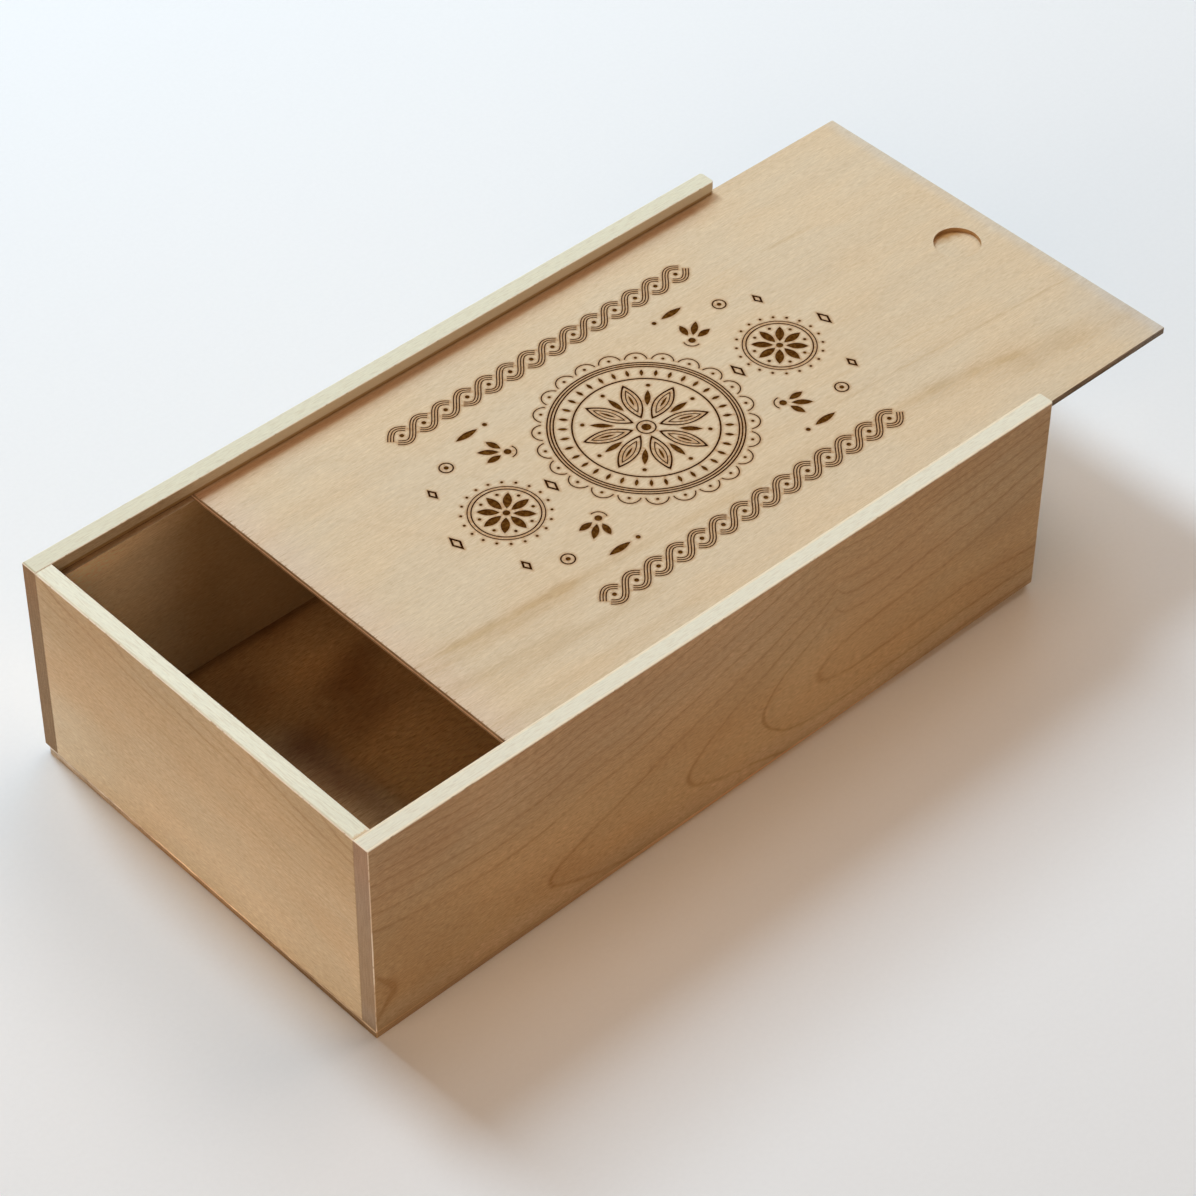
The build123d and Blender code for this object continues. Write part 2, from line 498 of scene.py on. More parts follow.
def end_marks(g, x, y, z, top, colour):
    """A pale top, a face paler towards its foot, painted shade in the seams beside the long boards, dried
    glue.
    """
    side = 1 - top
    colour = g.stain(
        colour,
        (g.rise(z, 52, 100) * side, (0.84, 0.8, 0.73)),
        (g.rise(z, 55, 8) * side, (1.12, 1.18, 1.25)),
        (g.rise(z, 50, 10) * g.rise(y, 20, 90) * side, (1.03, 1.1, 1.18)),
        (top * g.rise(y, -95, -30, 0.6, 1), (1.15, 1.17, 1.22)),
        (top * g.rise(abs(x), 176.1, 176.9), (0.86, 0.78, 0.7)),
        (joints(g, y), SEAM_SHADE),
    )
    ragged = g.noise(x / 1.3, y, 4, detail=3) - 0.5
    glue = g.rise(y + ragged * 3.4, -90.5, -91.3) * top
    colour = g.blend(glue * 0.85, colour, (0.66, 0.47, 0.27))
    drop = g.bump_of(x, -170, 1) * g.bump_of(y, -91, 1.1) * top
    return g.blend(g.rise(drop, 0.35, 0.6), colour, (0.8, 0.7, 0.52))


def open_marks(g, x, y, z, top, colour):
    """A rosier face, a paler top and painted shade in the seams beside the long boards."""
    return g.stain(
        colour, (1 - top, (1.03, 0.99, 0.97)), (top, (1.12, 1.1, 1.08)), (joints(g, y), SEAM_SHADE)
    )


def rear_marks(g, x, y, z, top, colour):
    """A rosier outer face, darker end grain, painted shade in the groove and under the lip, a pale lip,
    and painted light and shade along the inner face.
    """
    colour = g.stain(
        colour,
        (g.rise(y, 99, 99.6) * (1 - top), (1, 0.945, 0.91)),
        (g.rise(x, -176.3, -177), (0.68, 0.63, 0.52)),
    )
    faces_in = g.rise(g.facing()[1], -0.8, -0.95)
    inward = faces_in * g.rise(z, 96, 90)
    # Painted light and shade on the inner face: lighter towards the closed end and its top, darker and
    # warmer towards the middle, where the lid shades it.
    painted_shade = g.rise(x, -165, -92, 1.52, 0.58) * g.rise(z, 77, 90, 1, 1.26)
    colour = g.shade(colour, (painted_shade - 1) * inward + 1)
    colour = g.stain(colour, (g.rise(x, -128, -98) * inward, (1, 0.84, 0.63)))
    lip = g.rise(z, 94.9, 95.6) * faces_in * g.rise(x, -130, -60)
    colour = g.blend(lip * 0.7, colour, (0.78, 0.7, 0.55))
    # Painted shade: a dark band under the lip, and the groove darkened inside.
    lip_foot = g.rise(z, 96.6, 95.9) * g.rise(z, 94.5, 94.7) * faces_in
    groove = g.rise(y, 94.6, 94.9) * g.rise(y, 95.6, 95.3) * g.rise(z, 95.4, 94.9) * g.rise(z, 90.8, 91.3)
    burnt = groove * g.rise(x, -176, -175)
    return g.stain(colour, (lip_foot, (0.6, 0.47, 0.3)), (burnt, (0.42, 0.32, 0.24)))


# ---- plywood

# Underside and thickness of each cut edge.
LID_PLY = (91.4, 3)
BOTTOM_PLY = (0, 4)
RECESS_DEPTH = 1.9
RECESS_PLY = (92.5, RECESS_DEPTH)
RECESS_RADIUS = 10
RECESS_CENTRE = 229.1  # along the box

LID_PALE = (0.705, 0.56, 0.38)
LID_DEEP = (0.63, 0.48, 0.31)
LID_FLECK = (0.83, 0.76, 0.67)
LID_STREAK = (0.83, 0.75, 0.63)
WARM = (1.008, 0.994, 0.965)
COLD = (0.99, 1.007, 1.02)
# Darker streaks of the lid's veneer: from x and y, to x and y, width, strength.
STREAKS = (
    (-114, -36, -18, -43.8, 2.6, 1),
    (-84, -40.5, -36, -42.5, 2.4, 0.4),
    (-50, -41.2, 170, -58.5, 2.2, 0.5),
    (138, -56, 236, -74, 6.5, 0.42),
    (-114, -42, -20, -48, 2, 0.55),
    (-112, -54, -34, -62, 3.2, 0.6),
    (-96, -63, 6, -67, 3, 0.45),
    (-112, -79, 20, -81, 2.4, 0.4),
    (146, -55.5, 206, -67.5, 2.6, 0.7),
    (112, -37, 262, -48, 0.8, 0.5),
    (112, -25, 214, -33, 0.8, 0.35),
    (158, 50.5, 200, 48.5, 1.1, 0.6),
    (90, 50, 170, 51.5, 0.7, 0.3),
    (-66, 82, -34, 60, 2.6, 0.28),
    (176, -72, 262, -80, 3.5, 0.4),
)
BOTTOM_STREAKS = (
    (-180, 30, 60, 44, 3.5, 0.7),
    (-60, -58, 180, -40, 4, 0.6),
    (20, 70, 180, 62, 2, 0.6),
)
LASER_WAVE = 21  # radians of the laser's ribs to a millimetre
# Dark, light and core tones of each cut edge.
LID_EDGE = ((0.13, 0.08, 0.046), (0.25, 0.165, 0.098), (0.33, 0.225, 0.14))
LID_INNER_EDGE = ((0.25, 0.15, 0.084), (0.44, 0.29, 0.175), (0.88, 0.64, 0.43))
RECESS_WALL = ((0.42, 0.24, 0.1), (0.56, 0.35, 0.16), (0.58, 0.37, 0.18))
BOTTOM_EDGE = ((0.235, 0.145, 0.08), (0.42, 0.285, 0.17), (0.48, 0.33, 0.2))
BOTTOM_NEAR_EDGE = ((0.62, 0.4, 0.215), (0.71, 0.48, 0.27), (0.7, 0.48, 0.27))
HOLE_WALL = ((0.2, 0.12, 0.065), (0.3, 0.2, 0.115), (0.36, 0.235, 0.135))


def streaked(g, x, y, sway, fine, streaks, seed):
    """How far the streaks darken each point, from 0 to 1."""
    total = 0
    for x0, y0, x1, y1, width, strength in streaks:
        middle = (x - x0) * ((y1 - y0) / (x1 - x0)) + y0
        torn = (fine - 0.5) * (width * 2.2)
        patch = g.rise(g.noise(x / 22, y0, seed + 7), 0.3, 0.6, 0.35, 1)
        ends = g.rise(x, x0, x0 + 18) * g.rise(x, x1, x1 - 18)
        total = g.bump_of(y + sway * 2 + torn, middle, width) * patch * ends * strength + total
    return g.math("MINIMUM", total, 1)


def veneer(g, x, y, z, streaks=(), seed=0, grittiness=0.66):
    """Colour and relief of a peeled veneer face with the grain along x."""
    sway = g.noise(x / 60, y / 30, z / 30 + seed) - 0.5
    lane = y + sway * 5
    band = g.noise(x / 130, lane / 8, seed, detail=3, roughness=0.55)
    fine = g.noise(x / 14, lane * 0.9, seed, detail=3, roughness=0.6)
    fleck = g.noise(x / 1.5, y * 2, seed, detail=1)
    dark_fleck = g.rise(fleck, 0.6, 0.78)
    pale_fleck = g.rise(fleck, 0.4, 0.24)
    grit = g.noise(x / 4.2, y / 0.45, seed, roughness=0.7) - 0.5
    hue = g.noise(x / 46, y / 26, seed + 4)
    colour = g.blend(g.rise(band, 0.34, 0.7, 0.3, 0.7), LID_PALE, LID_DEEP)
    colour = g.shade(colour, g.blend(g.rise(hue, 0.36, 0.64), WARM, COLD))
    if streaks:
        colour = g.stain(colour, (streaked(g, x, y, sway, fine, streaks, seed), LID_STREAK))
    colour = g.stain(colour, (dark_fleck * 0.42, LID_FLECK))
    colour = g.shade(colour, 1 + (fine - 0.5) * 0.22 + pale_fleck * 0.03)
    colour = g.speckle(colour, grit * grittiness)
    relief = fine * 0.4 - dark_fleck * 0.4 + grit * 0.4
    return colour, relief, fine


def lid_marks(g, x, y, fine, colour):
    """Smoke beside the engraving, a singed and torn inner end, and the painted shadow of the far lip."""
    smoke = Wire(g, g.node("Attribute", attribute_name="smoke").outputs["Fac"])
    uneven = g.noise(x / 2, y / 2, 3)
    dashes = g.noise(y / 0.9, x / 9, 8)
    singed = g.rise(dashes - g.rise(x, -101.5, -99) * 0.4, 0.54, 0.64)
    torn = g.rise(dashes - g.rise(x, -101.5, -92) * 0.25, 0.53, 0.62)
    # Painted shadow of the far lip on the lid, its edge a little ragged along the grain.
    lip_shadow = g.rise(y + (fine - 0.5) * 1.6, 86.3, 88.5) * g.rise(y, 92.4, 90, 0.45, 1)
    in_box = g.rise(x, 178, 160)
    return g.stain(
        colour,
        (smoke * g.rise(uneven, 0.3, 0.7, 0.6, 0.85), (0.62, 0.4, 0.21)),
        (singed * 0.75, (0.56, 0.36, 0.23)),
        (torn * 0.55, (0.82, 0.74, 0.66)),
        (g.rise(x, -80, -101), (1, 0.99, 1.05)),
        # Painted shadow of the far lip: a dark band beside it, and a greyer strip fading out beyond.
        (lip_shadow * in_box, (0.76, 0.6, 0.47)),
        (g.rise(y, 78, 87) * in_box, (0.9, 0.86, 0.84)),
        (g.rise(x, 222, 250) * g.rise(y, -30, -85), (0.94, 0.98, 1.07)),
        (g.rise(x, 243, 251), (0.95, 1.03, 1.2)),
    )


def veneer_material(name, streaks, seed=0, tint=(1, 1, 1), marks=None):
    """Flat veneer of the lid and the bottom."""
    g = Graph(name, specular=0.22)
    x, y, z = g.millimetres()
    colour, relief, fine = veneer(g, x, y, z, streaks, seed)
    colour = g.shade(colour, tint)
    if marks:
        colour = marks(g, x, y, fine, colour)
    return g.finish(colour, g.rise(fine, 0.2, 0.8, 0.58, 0.72), relief, 0.015)


def scorched_material(name, dark, light):
    """Floor and walls of the laser engraving: finely ribbed brown."""
    g = Graph(name, roughness=0.9, specular=0.02)
    x, y, z = g.millimetres()
    burn = g.noise(x / 1.6, y / 1.6, z, detail=3, roughness=0.6)
    ribs = g.math("SINE", y * LASER_WAVE)
    colour = g.blend(g.rise(burn, 0.35, 0.7), dark, light)
    colour = g.shade(colour, 1 + ribs * 0.16)
    return g.finish(colour, None, ribs * 0.5 + burn, 0.06)


def ply_edge_material(name, sheet, tones, glue=0.8, plain=0.25, marks=None):
    """Cut edge of a sheet: three plies between glue lines. plain is how much of the core always shows."""
    g = Graph(name, roughness=0.8, specular=0.15)
    x, y, z = g.millimetres()
    base, thickness = sheet
    dark, light, core = tones
    level = (z - base) / thickness
    run = x + y
    burn = g.noise(run / 9, z / 1.5, 0, detail=3, roughness=0.65)
    upright = g.noise(run * 1.4, z / 6, 2)
    middle = g.bump_of(level, 0.5, 0.17)
    joint = g.bump_of(abs(level - 0.5), 0.17, 0.035)
    colour = g.blend(g.rise(burn, 0.35, 0.7), dark, light)
    colour = g.blend(middle * g.rise(upright, 0.4, 0.65, plain, 0.7), colour, core)
    colour = g.stain(colour, (joint * glue, (0.45, 0.38, 0.32)))
    if marks:
        colour = marks(g, run, g.rise(level, 0.64, 0.7), colour)
    return g.finish(colour, None, burn * 0.5 + upright * 0.5 - joint * 0.4, 0.12)


def lid_edge_marks(g, run, top_ply, colour):
    """A paler uppermost ply, and a greyer outer corner. run is x + y."""
    colour = g.shade(colour, top_ply * 0.4 + 1)
    return g.stain(colour, (g.rise(run, 122, 150), (1.2, 1.45, 1.85)))


def bottom_end_marks(g, run, top_ply, colour):
    """Dark at the near corner, paler and greyer towards the far one, under a pale uppermost ply."""
    colour = g.shade(colour, g.blend(g.rise(run, -250, -172), (0.65, 0.65, 0.6), (1.17, 1.15, 1.06)))
    return g.stain(
        colour,
        (g.rise(run, -165, -80), (1.25, 1.6, 2.2)),
        (top_ply * g.rise(run, -107, -177, 0.3, 1), (2.7, 3.3, 4.3)),
    )


def bottom_near_marks(g, run, top_ply, colour):
    """Dark at the near corner and paler towards the open end."""
    return g.shade(colour, g.rise(run, -235, -70, 0.78, 1.4) * (top_ply * 0.25 + 1))


def recess_material(name):
    """Floor of the thumb recess, with the painted shadow of its far wall."""
    g = Graph(name, specular=0.22)
    x, y, z = g.millimetres()
    colour, relief, _ = veneer(g, x, y, z, seed=21)
    onward = (x - RECESS_CENTRE) * 0.26 + y * 0.966
    uneven = g.noise(x / 3, y / 3, 1) - 0.5
    # Painted shadow: browner beside the far wall, which stands between the floor and the light.
    colour = g.stain(colour, (g.rise(onward + uneven * 3, 3, 8.6), (0.62, 0.42, 0.21)))
    return g.finish(colour, 0.65, relief, 0.02)


# Dark stains and painted shade on the inside of the bottom: x, y, reach along and across, how dark.
FLOOR_STAINS_AND_SHADE = (
    (-106, 6, 10, 32, 0.85),
    (-100, 68, 12, 13, 0.5),
    (-101, 30, 12, 9, 0.5),
    (-69, 45, 16, 9, 1),
    (-70, 29, 16, 10, 0.75),
    (-56, 54, 12, 7, 0.65),
    (-88, 35, 11, 6, 0.2),
    (-84, 20, 10, 8, 0.35),
    (-90, 93, 60, 7, 0.6),
    (-66, 91, 22, 7, 0.55),
)


def floor_material(name):
    """Inside face of the bottom: a golden painted pool of light, dark stains and painted shade, and
    swirling grain.
    """
    g = Graph(name, specular=0.2)
    x, y, z = g.millimetres()
    colour, relief, fine = veneer(g, x, y, z, seed=11, grittiness=1.7)
    colour = g.shade(colour, (1.02, 0.84, 0.6))
    sway = g.noise(x / 26, y / 18, 1) - 0.5
    dark = 0
    for x0, y0, reach, spread, strength in FLOOR_STAINS_AND_SHADE:
        spot = g.bump_of(x + sway * 8, x0, reach) * g.bump_of(y + sway * 6, y0, spread)
        dark = spot * strength + dark
    # Painted light: brighter towards the near side, and a golden pool of light towards the far wall.
    colour = g.shade(colour, g.rise(y, 75, -15, 0.87, 1.4))
    colour = g.shade(colour, 1 + g.bump_of(x, -74, 24) * g.bump_of(y, 62, 14) * 0.32)
    swirl = g.math("SQRT", ((x + 122) / 1.7) ** 2 + (y + 52) ** 2)
    rings = g.math("SINE", (swirl + sway * 16) * 1.9)
    walls = g.math("MAXIMUM", g.rise(abs(y), 86.5, 92), g.rise(abs(x), 166, 169.5))
    colour = g.stain(
        colour,
        (g.math("MINIMUM", dark, 1), (0.56, 0.46, 0.39)),
        # Painted shade on the strip below the opening beside the closed end.
        (g.rise(x, -88, -106) * g.rise(y, 50, 30), (0.57, 0.46, 0.38)),
        (g.rise(rings, 0.3, 1) * g.rise(y, 42, 18, 0, 0.5), (0.82, 0.76, 0.7)),
        # Painted shade along the foot of the walls.
        (walls * 0.65, (0.36, 0.29, 0.24)),
    )
    return g.finish(colour, g.rise(fine, 0.2, 0.8, 0.58, 0.72), relief, 0.02)


def steel_material(name):
    """Bright drawn wire with faint lengthwise scratches."""
    g = Graph(name, specular=0.5)
    g.shader.inputs["Metallic"].default_value = 1
    x, y, z = g.millimetres()
    scratch = g.noise(x * 4, y * 4, z / 3, detail=3)
    tarnish = g.noise(x / 2, y / 2, z / 2)
    colour = g.blend(g.rise(tarnish, 0.4, 0.7), (0.62, 0.61, 0.58), (0.42, 0.39, 0.35))
    return g.finish(colour, g.rise(scratch, 0.3, 0.7, 0.28, 0.46), scratch, 0.02)


def paper_material(name):
    """Plain pale table top."""
    g = Graph(name, roughness=0.9, specular=0.1)
    x, y, _ = g.millimetres()
    tooth = g.noise(x / 2, y / 2, 0, detail=3)
    colour = g.blend(g.rise(tooth, 0.3, 0.7), (0.862, 0.872, 0.88), (0.872, 0.882, 0.89))
    return g.finish(colour)


# ---- outlines of the engraving

LINE = 0.6  # width of a fine engraved line
SPACING = 0.9  # longest stretch of an outline between two points
# Each outline comes with a sign: a line's outside, a filled shape, or the hole inside a line.
DRAWN, FILLED, HOLE = 1, 2, -1
TICKS = 36  # round the wheel
SCALLOPS = 24
BRAID_LENGTH = 160
BRAID_HALF_WAVES = 14
BRAID_SWING = 4.4
# How far the smaller figures lie from the centre of the wheel, along the box and across it.
ROSETTE_OUT = 74
LOZENGES_OUT = (50.5, 99.5)
BUD_OUT = 50
BRAID_UP = 61
LEAF_UP = 44
RING_UP = 35


def ray(centre, angle, distance):
    return (centre[0] + distance * math.cos(angle), centre[1] + distance * math.sin(angle))


def circle(centre, radius):
    count = max(14, int(math.tau * radius / SPACING))
    return [ray(centre, math.tau * i / count, radius) for i in range(count)]


def disc(centre, radius):
    return [(circle(centre, radius), FILLED)]


def ring(centre, radius, width=LINE):
    return [(circle(centre, radius + width / 2), DRAWN), (circle(centre, radius - width / 2), HOLE)]


def resampled(points):
    """The same polyline with no stretch longer than SPACING."""
    found = [points[0]]
    for start, end in zip(points, points[1:]):
        length = math.dist(start, end)
        count = max(1, math.ceil(length / SPACING))
        for i in range(1, count + 1):
            t = i / count
            found.append((start[0] + (end[0] - start[0]) * t, start[1] + (end[1] - start[1]) * t))
    return found


def beside(points, offset):
    """The open polyline moved sideways by offset, its corners mitred."""
    path = np.array(points, float)
    steps = np.diff(path, axis=0)
    steps /= np.linalg.norm(steps, axis=1)[:, None]
    before = np.vstack([steps[:1], steps])
    after = np.vstack([steps, steps[-1:]])
    tangent = before + after
    tangent /= np.linalg.norm(tangent, axis=1)[:, None]
    normal = np.stack([-tangent[:, 1], tangent[:, 0]], 1)
    lean = np.clip((tangent * before).sum(1), 0.4, 1)
    return [tuple(p) for p in path + normal * (offset / lean)[:, None]]


def stroke(points, width):
    """A line of some width along an open polyline."""
    points = resampled(points)
    return [(beside(points, width / 2) + beside(points, -width / 2)[::-1], DRAWN)]


def arc(centre, radius, start, end):
    count = max(6, int(abs(end - start) * radius / SPACING))
    return [ray(centre, start + (end - start) * i / count, radius) for i in range(count + 1)]


def oval(centre, angle, start, end, width):
    """Closed pointed oval that lies along a ray from centre."""
    length = end - start
    count = max(8, int(length / SPACING))
    half = [(i / count, max(0, math.sin(math.pi * i / count)) ** 0.85) for i in range(count + 1)]
    points = [(start + length * t, width / 2 * w) for t, w in half]
    points += [(start + length * t, -width / 2 * w) for t, w in reversed(half[1:-1])]
    c, s = math.cos(angle), math.sin(angle)
    return [(centre[0] + u * c - v * s, centre[1] + u * s + v * c) for u, v in points]


def petal(centre, angle, start, end, width):
    return [(oval(centre, angle, start, end, width), FILLED)]


def outlined_petal(centre, angle, start, end, width, line=LINE):
    outer = oval(centre, angle, start, end, width)
    inner = oval(centre, angle, start + 2.4 * line, end - 2.4 * line, width - 2 * line)
    return [(outer, DRAWN), (inner, HOLE)]


def lozenge(centre, width, height):
    corners = ((width, 0), (0, height), (-width, 0), (0, -height), (width, 0))
    inner = 1 - 1.6 * LINE / min(width, height)
    found = []
    for scale, sign in ((1, DRAWN), (inner, HOLE)):
        outline = [(centre[0] + u * scale, centre[1] + v * scale) for u, v in corners]
        found.append((resampled(outline)[:-1], sign))
    return found


def bud(centre, angle, size):
    """Three spread petals over a dot in a small arc."""
    found = disc(centre, size * 0.13)
    for turn, reach in ((-0.64, 0.86), (0, 1), (0.64, 0.86)):
        found += petal(centre, angle + turn, size * 0.28, size * reach, size * 0.25)
    found += stroke(arc(centre, size * 0.3, angle + 2.1, angle + 4.2), 0.5)
    return found


def wheel(centre):
    """Eight nested petals in rings, ticks and scallops."""
    found = disc(centre, 2) + ring(centre, 3.8)
    for i in range(8):
        angle = math.tau * (i + 0.5) / 8
        found += outlined_petal(centre, angle, 5.4, 26.6, 7.6)
        found += outlined_petal(centre, angle, 9, 23.4, 4, 0.42)
        found += petal(centre, angle, 13.4, 20, 1.1)
        between = angle + math.tau / 16
        found += petal(centre, between, 13, 22.2, 2.5)
        found += disc(ray(centre, between, 25.2), 0.9)
    found += ring(centre, 29.3, 0.7)
    for i in range(TICKS):
        found += petal(centre, math.tau * i / TICKS, 31, 34.8, 1.5)
    for step in (-1, 0, 1):
        found += ring(centre, 37.9 + step * 1.25)
    for i in range(SCALLOPS):
        middle = math.tau * (i + 0.5) / SCALLOPS
        found += stroke(arc(ray(centre, middle, 40.6), 4.6, middle - 1.42, middle + 1.42), 0.5)
        found += disc(ray(centre, middle, 42.2), 0.65)
    return found


def small_rosette(centre):
    """Eight filled petals inside two rings and a circle of dots."""
    found = disc(centre, 1.5)
    for i in range(8):
        angle = math.tau * i / 8
        found += petal(centre, angle, 2.6, 11.6, 3.6)
        found += disc(ray(centre, angle + math.tau / 16, 10.9), 0.7)
    found += ring(centre, 13.6, 0.55) + ring(centre, 15.1, 0.45)
    for i in range(20):
        found += disc(ray(centre, math.tau * i / 20, 17.6), 0.6)
    return found


def braid(middle, y):
    """Two interlaced bands of three lines each, with a dot in every eye."""
    found = []
    left = middle - BRAID_LENGTH / 2
    half_wave = BRAID_LENGTH / BRAID_HALF_WAVES
    for strand in (0, 1):
        for k in range(BRAID_HALF_WAVES):
            # A half wave runs from crossing to crossing and dives under at one of them.
            start, end, turn = (0.17, 1, -1) if (k + strand) % 2 else (0, 0.83, 1)
            ts = np.linspace(start, end, 20)
            xs = left + (k + ts) * half_wave
            ys = y + turn * BRAID_SWING * np.sin(math.pi * ts)
            for offset in (-1.15, 0, 1.15):
                found += stroke(beside(list(zip(xs, ys)), offset), 0.46)
    for k in range(BRAID_HALF_WAVES):
        found += disc((left + (k + 0.5) * half_wave, y), 0.95)
    return found


def engraving(centre):
    """The whole design: a wheel between two rosettes, with a braid above and below."""

    def at(x, y):
        return (centre[0] + x, centre[1] + y)

    found = wheel(centre)
    for side in (-1, 1):
        rosette = side * ROSETTE_OUT
        found += small_rosette(at(rosette, 0))
        found += braid(*at(0, side * BRAID_UP))
        for out in LOZENGES_OUT:
            found += lozenge(at(side * out, 0), 2.2, 4.6)
        outward = 0 if side > 0 else math.pi
        for up in (-1, 1):
            found += bud(at(side * BUD_OUT, up * 26), math.atan2(up * 0.8, side), 12)
            found += petal(at(side * BUD_OUT, up * LEAF_UP), outward, 0, 11, 3)
            found += disc(at(side * (BUD_OUT - 4), up * LEAF_UP), 1)
            found += ring(at(rosette, up * RING_UP), 2.8)
            found += disc(at(rosette, up * RING_UP), 1)
            found += lozenge(at(side * 88, up * 27), 1.9, 3.4)
    return found


# ---- plywood meshes

ENGRAVED = 0.28  # depth of the burnt lines
PLY_ARRIS = 0.2
PLY_CORNER = 0.6  # radius of a sheet's corners
GLUE_DEPTH = 0.06  # of the glue lines in a sawn edge
DESIGN_CENTRE = (54, 3)
SMOKE_WIDTH = 0.6  # the stain beside the engraving fades away over this
SMOKE_NEAR, SMOKE_FAR = 0.45, 1.8  # distances from it at which the mesh has points for the stain
BOTTOM_NEAR = -99.8  # the bottom's near edge, almost flush with the box at the closed end
BOTTOM_FAR = 97.3
BOTTOM_TAPER = 2.7  # how far the bottom falls short of the near side at the open end
BRAD_PLACES = [(x, y) for x in (-160, -80, 0, 80, 160) for y in (-96, 96)]
BRAD_PLACES += [(x, y) for x in (-173.5, 173.5) for y in (-48, 48)]
BRAD_HOLE = 0.6  # radius of a nail hole
BRAD_SINK = 0.4  # its depth, just past the head of the brad


def rounded_rectangle(low, high, inset):
    """Points of a sheet's outline drawn in by inset, anticlockwise."""
    radius = PLY_CORNER - inset
    (x0, y0), (x1, y1) = low[:2] + PLY_CORNER, high[:2] - PLY_CORNER
    found = []
    for turn, corner in enumerate(((x1, y1), (x0, y1), (x0, y0), (x1, y0))):
        found += [ray(corner, math.pi / 2 * (turn + i / 4), radius) for i in range(5)]
    return found


def search_tree(points):
    """Finds the nearest of some points in the lid's plane."""
    tree = kdtree.KDTree(len(points))
    for index, (x, y) in enumerate(points):
        tree.insert((x, y, 0), index)
    tree.balance()
    return tree


def smoke_points(tree, low, high, step=1):
    """Grid points near the outlines, which carry the smoke's fading."""
    xs = np.arange(low[0] + step, high[0] - step / 2, step)
    ys = np.arange(low[1] + step, high[1] - step / 2, step)
    found = []
    for row, y in enumerate(ys):
        for x in xs + step / 2 * (row % 2):
            if SMOKE_NEAR < tree.find((x, y, 0))[2] < SMOKE_FAR:
                found.append((x, y))
    return found


def anticlockwise(loop):
    turned = zip(loop, loop[1:] + loop[:1])
    area = sum(a[0] * b[1] - a[1] * b[0] for a, b in turned)
    return loop if area > 0 else loop[::-1]


class Solid:
    """Points, faces and each face's kind, gathered before they become a mesh."""

    def __init__(self):
        self.places = []
        self.faces = []
        self.kinds = []

    def stepped(self, loops, loose, level_of, levels):
        """A level sheet with steps: level_of names each triangle's level from the loops around it.

        levels gives each level's height and the kind of the wall that leads down to it.
        """
        points, outlines = [], []
        for loop in loops:
            outlines.append(list(range(len(points), len(points) + len(loop))))
            points += anticlockwise(loop)
        flat, _, triangles, _, _, owners = geometry.delaunay_2d_cdt(
            [Vector(p) for p in points + loose], [], outlines, 0, 1e-5, True
        )
        index_of = {}

        def corner(point, height):
            key = (point, height)
            if key not in index_of:
                index_of[key] = len(self.places)
                self.places.append((flat[point][0], flat[point][1], height))
            return index_of[key]

        sides = {}
        for triangle, owner in zip(triangles, owners):
            kind = level_of(owner)
            height = levels[kind][0]
            self.faces.append([corner(p, height) for p in triangle])
            self.kinds.append(kind)
            for a, b in zip(triangle, triangle[1:] + triangle[:1]):
                sides.setdefault((min(a, b), max(a, b)), []).append((a, b, kind))
        for pair in sides.values():
            heights = sorted({levels[kind][0] for _, _, kind in pair})
            if len(heights) == 2:
                a, b, kind = min(pair, key=lambda side: levels[side[2]][0])
                low, high = heights
                self.faces.append([corner(b, low), corner(a, low), corner(a, high), corner(b, high)])
                self.kinds.append(levels[kind][1])

    def turned_over(self):
        """The same faces mirrored in z, still facing outwards."""
        self.places = [(x, y, -z) for x, y, z in self.places]
        self.faces = [face[::-1] for face in self.faces]

    def edge(self, outline_at, top, thickness):
        """The sawn edge: arris, three plies with the glue lines a hair deeper, arris."""
        arris = PLY_ARRIS / thickness
        profile = [(PLY_ARRIS, 0), (0, arris)]
        for start, middle, end in ((0.3, 0.33, 0.36), (0.64, 0.67, 0.7)):
            profile += [(0, start), (GLUE_DEPTH, middle), (0, end)]
        profile += [(0, 1 - arris), (PLY_ARRIS, 1)]
        rows = []
        for inset, share in profile:
            loop = outline_at(inset)
            rows.append(range(len(self.places), len(self.places) + len(loop)))
            self.places += [(x, y, top - thickness * share) for x, y in loop]
        for upper, lower in zip(rows, rows[1:]):
            for i in range(len(upper)):
                j = (i + 1) % len(upper)
                self.faces.append([upper[i], lower[i], lower[j], upper[j]])
                self.kinds.append("edge")
        return rows[0], rows[-1]

    def sheet(self, corners, kind):
        """One flat face."""
        self.faces.append(list(corners))
        self.kinds.append(kind)

    def into_object(self, name, materials):
        """The finished mesh, with one material for each kind and no doubled points."""
        mesh = bpy.data.meshes.new(name)
        mesh.from_pydata([tuple(np.array(p) * MM) for p in self.places], [], self.faces)
        kinds = list(materials)
        for material in materials.values():
            mesh.materials.append(material)
        mesh.polygons.foreach_set("material_index", [kinds.index(kind) for kind in self.kinds])
        joined = bmesh.new()
        joined.from_mesh(mesh)
        bmesh.ops.remove_doubles(joined, verts=joined.verts, dist=1e-7)
        joined.to_mesh(mesh)
        joined.free()
        mesh.validate()
        made = bpy.data.objects.new(name, mesh)
        bpy.context.scene.collection.objects.link(made)
        return made


def repaint_edge(made, materials, kind, direction):
    """Gives the part of a sheet's edge that faces one way its own material."""
    kinds = list(materials)
    for face in made.data.polygons:
        if face.material_index == kinds.index("edge") and face.normal.dot(direction) > 0.6:
            face.material_index = kinds.index(kind)


def add_smoke(mesh, tree, top):
    """Marks how smoked each point of the lid's upper face is, from 0 to 1."""
    smoke = []
    for vertex in mesh.vertices:
        x, y, z = vertex.co / MM
        distance = tree.find((x, y, 0))[2] if z > top - 0.01 else math.inf
        smoke.append(math.exp(-((distance / SMOKE_WIDTH) ** 2)))
    attribute = mesh.attributes.new("smoke", "FLOAT", "POINT")
    attribute.data.foreach_set("value", np.array(smoke, np.float32))


